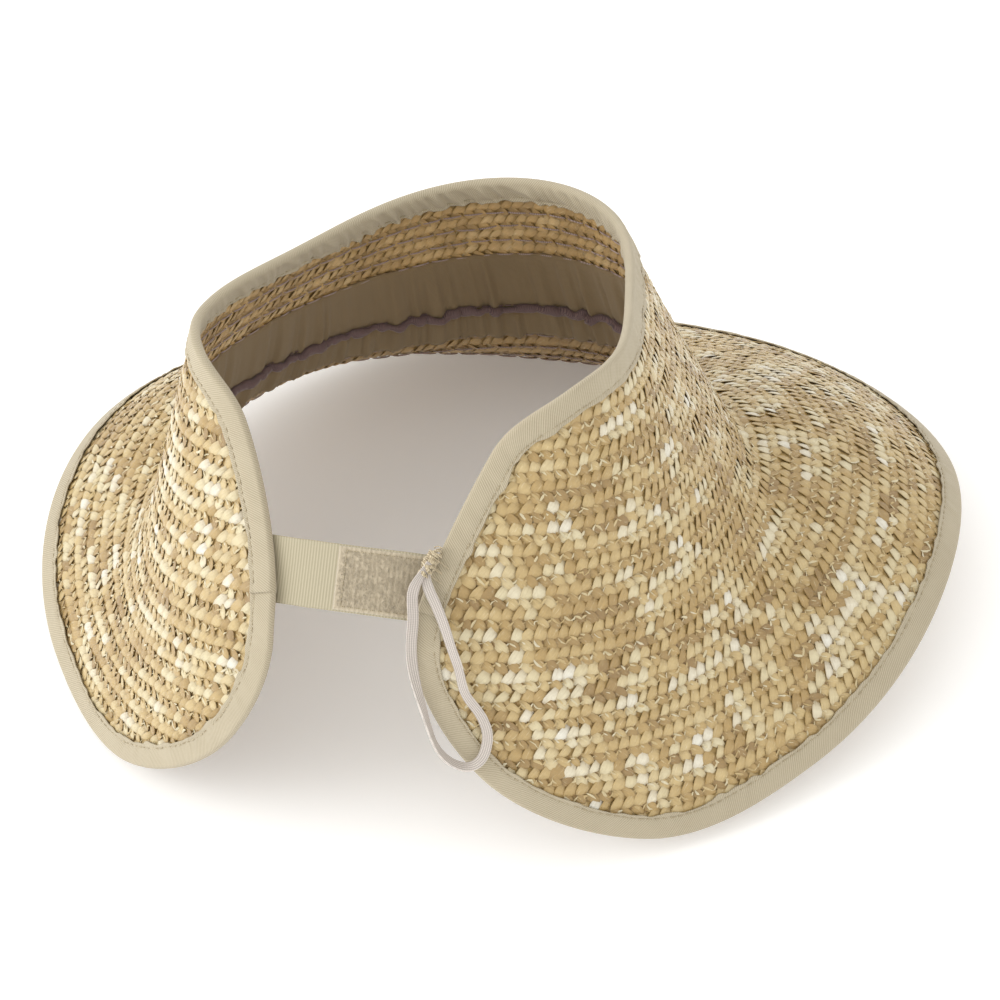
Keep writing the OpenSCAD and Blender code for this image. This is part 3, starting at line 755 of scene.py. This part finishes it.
def tape_piece(name, path, node, seed, rise, end_rise, pucker_turn):
    """Tape folded over an edge, with a wavy border, puckers and a sunken seam."""
    rng = np.random.RandomState(seed)
    stops, at = even_path(path, 0.7)
    length = at[-1]
    n = len(stops)
    inward = np.array([1.0, 0.955, 0.9, 0.863, 0.82, 0.72, 0.6, 0.47, 0.34, 0.21, 0.1, 0.02])
    fold = np.array([(-0.35, 0.86), (-0.72, 0.45), (-0.85, 0.0), (-0.72, -0.45), (-0.35, -0.86)])
    front = np.clip(1.6 - 1.6 * np.abs(stops[:, 0]) / pucker_turn, 0, 1) * (stops[:, 1] < 0)
    rise = (rise + np.interp(np.minimum(at, length - at), [0, 2.5, 5], [end_rise, end_rise, 0]))[:, None]
    sides = []
    for face in (1, -1):
        wavy = (TAPE_WIDTH + 0.28 * smooth_noise(rng, length, 3.2, at)
                + 0.2 * smooth_noise(rng, length, 9.0, at))
        distance = inward[None] * wavy[:, None]
        seam = (np.exp(-((distance - STITCH_IN) / 0.5) ** 2)
                * (0.6 + 0.4 * np.cos(at * 2 * math.pi / TAPE_STITCH))[:, None])
        lift = np.interp(inward, [0, 0.2, 0.7, 0.9, 1.0], [0, 0.6, 1, 0.3, 1.0])
        folds = smooth_noise(rng, length + 20, 2.6,
                             at[:, None] * np.ones_like(distance) + 0.55 * distance + 6)
        strength = 0.13 + (0.3 if face == -1 else 0.16) * front
        slant = at[:, None] + 0.9 * distance + 1.6 * smooth_noise(rng, length, 9.0, at)[:, None]
        pleats = ((0.5 + 0.5 * np.cos(slant * 2 * math.pi / PLEAT_PITCH)) ** 2
                  * (1.0 if face == -1 else 0.12) * front[:, None])
        height = TAPE_HIGH + rise - 0.42 * seam + strength[:, None] * lift[None] * folds
        height = height + pleats * np.interp(inward, [0, 0.3, 0.8, 1.0], [0.3, 1, 0.8, 0.9])[None]
        height = np.maximum(height, TAPE_HIGH + rise - 0.35)
        sides.append((distance, height))
    (top_d, top_h), (low_d, low_h) = sides
    fold_d = np.broadcast_to(fold[:, 0], (n, len(fold)))
    fold_h = fold[:, 1][None] * (TAPE_HIGH + rise)
    d_out = np.concatenate([top_d, fold_d - 0.15, low_d[:, ::-1]], 1)
    h_out = np.concatenate([top_h, fold_h, -low_h[:, ::-1]], 1)
    thick = TAPE_HIGH - TAPE_LOW
    d_in = np.concatenate([top_d, fold_d + thick - 0.15, low_d[:, ::-1]], 1)
    h_in = np.concatenate([top_h - thick, fold_h * 0.72, -(low_h[:, ::-1] - thick)], 1)
    grids = []
    for d, h in ((d_out, h_out), (d_in, h_in)):
        t, r = stepped_in(stops, d)
        grids.append(on_sheet(t, r, h))
    across = np.cumsum(np.concatenate([[0], np.abs(np.diff(d_out[0])) + 0.3 * np.abs(np.diff(h_out[0]))]))
    piece = cloth_shell(*grids, at[:, None], across)
    made = piece.build(name, "visor", "binding_tape", [TAPE], [node])

    stitches = Piece()
    spots, far = even_path(path, TAPE_STITCH)
    for face in (1, -1):
        d = np.full((len(spots), 1), STITCH_IN) + 0.12 * rng.normal(0, 1, (len(spots), 1))
        t, r = stepped_in(spots, d)
        base = on_sheet(t[:, 0], r[:, 0], face * (TAPE_HIGH + np.interp(far, at, rise[:, 0]) - 0.26))
        up = outer_side(t[:, 0], r[:, 0]) * face
        a, b = base[1:-2], base[2:-1]
        gap = (b - a) * 0.11
        stitches.tubes(stitch_tubes(a + gap, b - gap, up[1:-2], 0.21, 0.12), 0)
    stitches.build(name + "_stitches", "visor", "thread", [THREAD], [node + "_thread"])
    return made


crown_tape = tape_piece("crown_tape", crown_path, "crown_binding", 31, 0.12, 0.3, 120)
brim_tape = tape_piece("brim_tape", brim_path, "brim_binding", 32, 0.0, -0.12, 30)

# ---------------------------------------------------------------- sewing thread of the rows, inside

def row_seams():
    piece = Piece()
    rng = np.random.RandomState(55)
    for i in range(-CROWN_ROWS + 1, BRIM_ROWS):
        run = i * ROW_PITCH - 1.5
        limit = edge_turn(run) - 4
        if run > 66 or run < -64:
            continue
        path = np.stack([np.linspace(-limit, limit, 500), np.full(500, run)], 1)
        spots, _ = even_path(path, 7.0)
        runs = spots[:, 1] + 0.25 * rng.normal(0, 1, len(spots))
        base = on_sheet(spots[:, 0], runs, np.full(len(spots), -0.92))
        up = -outer_side(spots[:, 0], spots[:, 1])
        a, b = base[:-1], base[1:]
        gap = (b - a) * 0.06
        piece.tubes(stitch_tubes(a + gap, b - gap, up[:-1], 0.26, 0.15), 0)
    piece.build("row_seam_threads", "visor", "thread", [SEAM])


row_seams()

# ---------------------------------------------------------------- sweatband

BAND_TOP, BAND_SEAM, BAND_LOW, BAND_TURN = -40.0, -16.0, -2.0, 135.0


def sweatband():
    rng = np.random.RandomState(77)
    path = np.stack([np.linspace(-BAND_TURN, BAND_TURN, 800), np.full(800, -27.0)], 1)
    stops, at = even_path(path, 0.8)
    turn = stops[:, 0]
    v = np.linspace(0, 1, 26)
    length = at[-1]
    wobble_low = 0.5 * smooth_noise(rng, length, 7.0, at) + 0.25 * smooth_noise(rng, length, 3.0, at)
    wobble_top = 0.3 * smooth_noise(rng, length, 12.0, at)
    run = (BAND_TOP + wobble_top)[:, None] * (1 - v) + (BAND_LOW + wobble_low)[:, None] * v
    lean = at[:, None] + 2.0 * np.sin(v * 2.2)[None] - 1.0
    gathers = (smooth_noise(rng, length + 20, 2.6, lean + 5) * 0.9
               + smooth_noise(rng, length + 20, 8.0, lean + 5))
    belly = np.sin(math.pi * v) ** 0.7
    amount = (0.16 + 0.5 * v + 0.6 * belly)[None]
    out = 1.15 + 0.75 * belly[None] + amount * np.abs(gathers) * 0.8
    seam_at = (BAND_SEAM - BAND_TOP) / (BAND_LOW - BAND_TOP)
    below = np.clip((v - seam_at) / 0.1, 0, 1)[None]
    frills = smooth_noise(rng, length + 20, 2.2, lean + 5)
    out = out - 0.7 * np.exp(-((v - seam_at) / 0.05) ** 2)[None] + below * 0.7 * np.abs(frills)
    out = np.maximum(out, 1.0)
    thick = 0.55
    t = np.broadcast_to(turn[:, None], run.shape)
    outer = on_sheet(t, run, -out)
    inner = on_sheet(t, run, -(out - thick))
    piece = cloth_shell(outer, inner, at[:, None], run)
    band = piece.build("sweatband_cloth", "visor", "sweatband_cloth", [SWEAT], ["sweatband"])

    hem_piece = Piece()
    line = np.stack([turn, BAND_SEAM + wobble_low + 0.6], 1)
    at_seam = out[:, int(round(seam_at * (len(v) - 1)))]
    height = -(at_seam + 0.75 + 0.35 * np.abs(smooth_noise(rng, length, 2.2, at)))
    base = on_sheet(line[:, 0], line[:, 1], height)
    hem_piece.tubes(thread_tube(base, 1.35 + 0.4 * smooth_noise(rng, length, 3.0, at).clip(-1, 1), 8), 0)
    hem_piece.build("sweatband_hem", "visor", "sweatband_thread", [MAUVE])

    stitches = Piece()
    spots = np.stack([np.linspace(-BAND_TURN + 2, BAND_TURN - 2, 800), np.full(800, BAND_SEAM - 0.9)], 1)
    spots, _ = even_path(spots, 2.6)
    base = on_sheet(spots[:, 0], spots[:, 1], np.full(len(spots), -2.1))
    up = -outer_side(spots[:, 0], spots[:, 1])
    gap = (base[1:] - base[:-1]) * 0.12
    stitches.tubes(stitch_tubes(base[:-1] + gap, base[1:] - gap, up[:-1], 0.2, 0.15), 0)
    stitches.build("sweatband_stitches", "visor", "sweatband_thread", [MAUVE], ["sweatband_thread"])
    return band


band = sweatband()

# ---------------------------------------------------------------- strap with its patches

STRAP_WIDTH, STRAP_THICK, STRAP_RADIUS = 20.0, 0.9, 78.0
STRAP_RUN, STRAP_LEAN, STRAP_INSET, STRAP_SKEW = -11.0, 40.0, 3.7, 2.5
STRAP_SEWN, STRAP_LAP, PATCH_THICK, PATCH_GAP = 12.0, 22.0, 1.0, 0.3
strap_edge = sheet(np.interp(STRAP_RUN, BACK_RUNS, BACK_TURNS), STRAP_RUN)
strap_rise = math.sqrt(STRAP_RADIUS**2 - strap_edge[0] ** 2)
strap_reach = STRAP_RADIUS * math.asin(strap_edge[0] / STRAP_RADIUS)
strap_left, strap_right = strap_reach + STRAP_SEWN, -strap_reach - STRAP_LAP
loop_left = strap_reach * 0.16


def on_strap(length, width, height):
    """Points of the strap's own frame: length from its middle, width up, height out of the back."""
    length, width, height = np.broadcast_arrays(*(np.asarray(x, float) for x in (length, width, height)))
    a = length / STRAP_RADIUS
    x = (STRAP_RADIUS + height) * np.sin(a)
    y = (STRAP_RADIUS + height) * np.cos(a) - strap_rise
    k, q = math.radians(STRAP_SKEW), math.radians(STRAP_LEAN)
    x, y = x * math.cos(k) - y * math.sin(k), x * math.sin(k) + y * math.cos(k)
    y = y - STRAP_INSET
    y, z = y * math.cos(q) - width * math.sin(q), y * math.sin(q) + width * math.cos(q)
    return np.stack([x, y + strap_edge[1], z + strap_edge[2]], -1)


def strap_up(length):
    return unit(on_strap(length, 0, 1) - on_strap(length, 0, 0))


def strap_ribbon():
    lengths = np.arange(strap_right, strap_left, 0.16)
    w = np.linspace(-1, 1, 31)
    half = STRAP_WIDTH / 2
    rib = 0.5 + 0.5 * np.cos(lengths * 2 * math.pi / 0.95)
    selvage = np.clip((np.abs(w) - 0.93) / 0.07, 0, 1)
    body = (1 - selvage)[None] * rib[:, None] * 0.12 + selvage[None] * 0.1
    rng = np.random.RandomState(5)
    wave_ = 0.18 * smooth_noise(rng, 200, 14.0, (lengths - strap_right))[:, None] * (w[None] ** 2)
    high = 0.3 + body + wave_
    low = -0.3 - body + wave_
    width = w[None] * half + 0.08 * smooth_noise(rng, 200, 5.0, (lengths - strap_right))[:, None] * w[None]
    outer = on_strap(lengths[:, None], width, high)
    inner = on_strap(lengths[:, None], width, low)
    piece = cloth_shell(outer, inner, lengths[:, None], width)
    return piece.build("strap_ribbon_cloth", "strap", "ribbon", [RIBBON], ["strap_ribbon"])


def patch(name, right, left, low, high, half, material, slot, body, fibres, fibre_length, hooked, seed):
    """A woven backing with a selvage and short fibres standing on it."""
    rng = np.random.RandomState(seed)
    lengths = np.linspace(right, left, 120)
    w = np.linspace(-1, 1, 29)
    face = 1 if high > low else -1
    bumps = (0.04 * rng.normal(0, 1, (len(lengths), len(w)))
             + 0.09 * np.cos(lengths * 2 * math.pi / 1.5)[:, None])
    rim = (np.abs(w)[None] > 0.94) | ((lengths > left - 0.8) | (lengths < right + 0.8))[:, None]
    outer_h = high - 0.25 * face * rim + np.where(rim, 0, bumps) * 0.7
    width = np.broadcast_to(w[None] * half, outer_h.shape)
    outer = on_strap(lengths[:, None], width, outer_h)
    inner = on_strap(lengths[:, None], width, np.full(outer_h.shape, low))
    piece = cloth_shell(outer, inner, lengths[:, None], width)
    backing = piece.build(name + "_pile", body, slot, [material], [name])
    piece = Piece()
    n = fibres
    fl = rng.uniform(right + 1.2, left - 1.2, n)
    fw = rng.uniform(-half + 1, half - 1, n)
    u = np.array([0, 0.35, 0.7, 1.0])
    lean_l, lean_w = rng.normal(0, 0.5, n), rng.normal(0, 0.5, n)
    bend = 1.0 if hooked else 0.55
    arch = fibre_length * np.sin(u * math.pi * bend)[None] * rng.uniform(0.6, 1.1, n)[:, None]
    hh = high + face * arch - 0.05 * face
    ll = fl[:, None] + lean_l[:, None] * u[None]
    ww = fw[:, None] + lean_w[:, None] * u[None]
    centre = on_strap(ll, ww, hh)
    along = unit(np.gradient(centre, axis=1))
    across = unit(np.cross(along, np.array([0.31, 0.2, 0.93])))
    up = np.cross(across, along)
    a = (np.arange(4) + 0.5) * math.pi / 2
    fat = np.array([1, 0.95, 0.85, 0.5])[None, :, None, None] * (0.075 if not hooked else 0.1)
    ring = (across[:, :, None] * np.cos(a)[None, None, :, None]
            + up[:, :, None] * np.sin(a)[None, None, :, None])
    grown = np.zeros((n, 4, 4, 3))
    grown[..., 0], grown[..., 1] = ll[:, :, None], ww[:, :, None]
    piece.tubes(centre[:, :, None] + ring * fat, 0, cloth=grown)
    piece.build(name + "_fibres", body, slot, [material])
    return backing


ribbon = strap_ribbon()
half_patch = STRAP_WIDTH / 2 - 0.5
loop = patch("loop_patch", strap_right + 1.5, loop_left, STRAP_THICK / 2 - 0.05,
             STRAP_THICK / 2 + 0.55, half_patch, LOOP, "loop_tape", "strap", 4200, 0.4, False, 8)
hook_base = STRAP_THICK / 2 + PATCH_THICK + PATCH_GAP
hook = patch("hook_patch", strap_right + 3, -strap_reach - 1, hook_base + PATCH_THICK,
             hook_base + 0.35, half_patch - 0.5, HOOK, "hook_tape", "visor", 1200, 0.3, True, 9)


def strap_stitches():
    piece = Piece()
    top = STRAP_THICK / 2 + 0.62
    for at in (loop_left - 2.6, -strap_reach + 2):
        w = np.arange(-half_patch + 1.4, half_patch - 1.4, 1.9)
        a, b = on_strap(at, w + 0.15, top), on_strap(at, w + 1.65, top)
        up = np.repeat(strap_up(at)[None], len(w), 0)
        piece.tubes(stitch_tubes(a, b, up, 0.16, 0.08), 0)
    for side in (-1, 1):
        w = side * (half_patch - 1.2)
        lengths = np.arange(strap_right + 3, loop_left - 3.5, 2.2)
        a, b = on_strap(lengths + 0.2, w, top), on_strap(lengths + 1.95, w, top)
        piece.tubes(stitch_tubes(a, b, strap_up(lengths), 0.16, 0.08), 0)
    piece.build("loop_patch_stitches", "strap", "thread", [THREAD], ["loop_patch_thread"])
    tack = Piece()
    w = np.arange(-STRAP_WIDTH / 2 + 1.5, STRAP_WIDTH / 2 - 1.5, 0.5)
    zig = np.where(np.arange(len(w)) % 2 == 0, 1.0, -1.0)
    for face in (-1, 1):
        low = face * (STRAP_THICK / 2 + 0.05)
        a = on_strap(strap_left - 3 - zig * 1.1, w, low)
        b = on_strap(strap_left - 3 + zig * 1.1, w + 0.5, low)
        up = strap_up(np.full(len(w), strap_left - 3)) * face
        tack.tubes(stitch_tubes(a, b, up, 0.16, 0.06), 0)
    tack.build("strap_bar_stitches", "strap", "thread", [THREAD], ["strap_bar_tack"])


strap_stitches()

# ---------------------------------------------------------------- elastic loop

ROUTE = PLACE + np.array([
    (-27, 84.7, 64.3), (-25.2, 87.1, 62), (-25.1, 90, 58.6), (-28, 92.7, 54.3), (-32, 96.7, 48.3),
    (-35, 100.7, 42.3), (-37, 101.7, 35.3), (-38, 103.7, 28.3), (-42, 103.7, 22.3),
    (-44, 104.7, 16.3), (-44, 105.7, 12.3), (-43, 107.7, 8.3), (-41, 109.7, 6.3), (-37, 110.7, 5.3),
    (-32, 111.7, 9.3), (-29, 110.7, 14.3), (-27, 108.7, 20.3), (-25, 106.7, 27.3),
    (-24, 105.7, 33.3), (-23, 103.7, 39.3), (-23, 101.7, 45.3), (-23, 97.7, 50.3),
    (-22, 94.7, 54.3), (-22.3, 92.6, 57.8), (-24.2, 89.6, 61), (-26.4, 86.6, 64)])
# How far the band's face turns away from the back's outer side at each point, in degrees
ROLL = [0, 0, 8, 16, 26, 36, 40, 38, 30, 20, 15, 18, 28, 42, 58, 72, 66, 48, 28, 10, 0, 0, 0, 0, 8, 12]
FACE = np.array([-0.33, 0.71, 0.62])
ELASTIC_WIDTH, ELASTIC_THICK = 3.3, 1.0
# Two points where the elastic turns from running along the visor, above, to the loop, below; build is given
# them with the two body names but only bakes the band in place.
BEND_START, BEND_END = (-25.5, 89, 61), (-25.5, 95, 53)


def smooth_route(points, per):
    """Catmull-Rom through the points."""
    p = np.vstack([2 * points[0] - points[1], points, 2 * points[-1] - points[-2]])
    out = []
    for i in range(1, len(p) - 2):
        for u in np.arange(per) / per:
            out.append(0.5 * (2 * p[i] + (p[i + 1] - p[i - 1]) * u
                              + (2 * p[i - 1] - 5 * p[i] + 4 * p[i + 1] - p[i + 2]) * u * u
                              + (3 * p[i] - p[i - 1] - 3 * p[i + 1] + p[i + 2]) * u**3))
    return np.array(out + [p[-2]])


def elastic_band():
    per = 10
    line = smooth_route(ROUTE, per)
    even = np.ones(13) / 13
    line = np.stack([np.convolve(np.pad(line[:, k], 6, "edge"), even, "valid") for k in range(3)], 1)
    n = len(line)
    roll = np.radians(np.interp(np.arange(n) / per, np.arange(len(ROLL)), ROLL))
    along = unit(np.gradient(line, axis=0))
    flat = unit(FACE[None] - along * (along @ FACE)[:, None])
    side = np.cross(along, flat)
    up = flat * np.cos(roll)[:, None] + side * np.sin(roll)[:, None]
    across = np.cross(along, up)
    s = np.concatenate([[0], np.cumsum(np.linalg.norm(np.diff(line, axis=0), axis=1))])
    ends = np.minimum(s, s[-1] - s)
    wide = np.interp(ends, [0, 3, 9], [0.55, 0.62, 1.0]) * ELASTIC_WIDTH / 2
    w = np.linspace(-1, 1, 41)
    ribs = np.abs(np.cos(w * math.pi * 2.5))
    rim = np.sqrt(np.clip(1 - np.abs(w) ** 10, 0, 1))
    thick = (0.62 + 0.38 * ribs) * rim * ELASTIC_THICK / 2
    knit = 0.03 * np.sin(s * 2 * math.pi / 0.8)
    high = thick[None] + knit[:, None]
    middle = line[:, None] + across[:, None] * (w[None] * wide[:, None])[..., None]
    face = up[:, None] * high[..., None]
    piece = cloth_shell(middle + face, middle - face, s[:, None], w * 2.5)
    bend = ("visor", "loop", *(tuple((PLACE + place) * MM) for place in (BEND_START, BEND_END)))
    return piece.build("elastic_band", bend, "elastic", [ELASTIC], ["elastic_loop"]), line, s[-1]


elastic, elastic_line, elastic_length = elastic_band()


def elastic_knot():
    """Thread wound and stitched over both ends of the elastic."""
    piece = Piece()
    rng = np.random.RandomState(12)
    start, end = PLACE + np.array([[-27.6, 81.5, 65.5], [-24.0, 90.2, 59.9]])
    length = np.linalg.norm(end - start)
    axis = (end - start) / length
    a1 = unit(np.cross(axis, [0, 0, 1.0]))
    a2 = np.cross(a1, axis)
    for k in range(24):
        angle = np.linspace(0, 2 * math.pi * rng.uniform(1.1, 2.6), 48) + rng.uniform(0, 6.3)
        centre = rng.uniform(0.08, 0.94)
        slant, spread = rng.normal(0, 0.9), rng.uniform(0.2, 1.2)
        girth = np.interp(centre, [0, 0.35, 0.7, 1], [1.0, 1.75, 1.6, 1.25])
        radius = girth * rng.uniform(0.75, 1.1) * (1 + 0.18 * np.sin(2.3 * angle + k))
        place = centre * length + slant * np.cos(angle) + spread * np.linspace(-1, 1, 48)
        place = np.clip(place, 0.4, length - 0.2)
        path = (start + axis * place[:, None] + a1 * (np.cos(angle) * radius * 1.15)[:, None]
                + a2 * (np.sin(angle) * radius * 0.85)[:, None])
        piece.tubes(thread_tube(path, rng.uniform(0.16, 0.28)), 0)
    for k in range(4):
        q = rng.uniform(0.1, 0.8)
        r0 = start + (end - start) * q + a1 * 2.2
        t0 = -float(np.interp(-22 + 12 * q, BACK_RUNS, BACK_TURNS))
        r1 = on_sheet(t0 + 1.4 + rng.uniform(0, 0.8), -22 + 11 * q + rng.uniform(-1, 1), 1.75)
        mid = (r0 + r1) / 2 + outer_side(t0, -15.0) * 0.8
        piece.tubes(thread_tube(smooth_route(np.array([r0, mid, r1]), 6), 0.18), 0)
    piece.build("elastic_tack_threads", "visor", "thread", [TACK], ["elastic_tack"])


elastic_knot()

# ---------------------------------------------------------------- floor and light

FLOOR_SIZE = 6.0
# Name, place, power and size of each soft light, in metres and watts
LIGHTS = [("key", (1.9, 1.1, 1.15), 34, 1.9),
          ("fill", (-1.6, 0.9, 1.0), 2.5, 1.2),
          ("rim", (0.2, -1.6, 1.8), 4, 1.6)]


def make_stage():
    size = FLOOR_SIZE
    mesh = bpy.data.meshes.new("floor")
    corners = [(-size, -size, 0), (size, -size, 0), (size, size, 0), (-size, size, 0)]
    mesh.from_pydata(corners, [], [(0, 1, 2, 3)])
    floor = bpy.data.objects.new("floor", mesh)
    bpy.context.scene.collection.objects.link(floor)
    paper = Nodes("floor_paper")
    grain = paper.noise(paper.node("ShaderNodeTexCoord").outputs["Object"], 60.0, 2.0)
    paper.set(Base_Color=paper.mix(grain, (0.96, 0.96, 0.955), (0.98, 0.98, 0.975)), Roughness=0.9,
              Emission_Color=(1, 1, 1, 1), Emission_Strength=0.16)
    mesh.materials.append(paper.material)
    world = bpy.data.worlds.new("world")
    bpy.context.scene.world = world
    world.use_nodes = True
    sky = world.node_tree.nodes["Background"]
    sky.inputs["Color"].default_value = (1.0, 0.985, 0.96, 1)
    sky.inputs["Strength"].default_value = 1.0
    target = Vector((0, 0, 0.05))
    for name, place, power, extent in LIGHTS:
        light = bpy.data.lights.new(name, "AREA")
        light.energy = power
        light.size = extent
        lamp = bpy.data.objects.new(name, light)
        lamp.location = place
        lamp.rotation_euler = (target - Vector(place)).to_track_quat("-Z", "Y").to_euler()
        bpy.context.scene.collection.objects.link(lamp)
    bpy.context.scene.view_settings.view_transform = "Standard"
    bpy.context.scene.view_settings.look = "None"


make_stage()
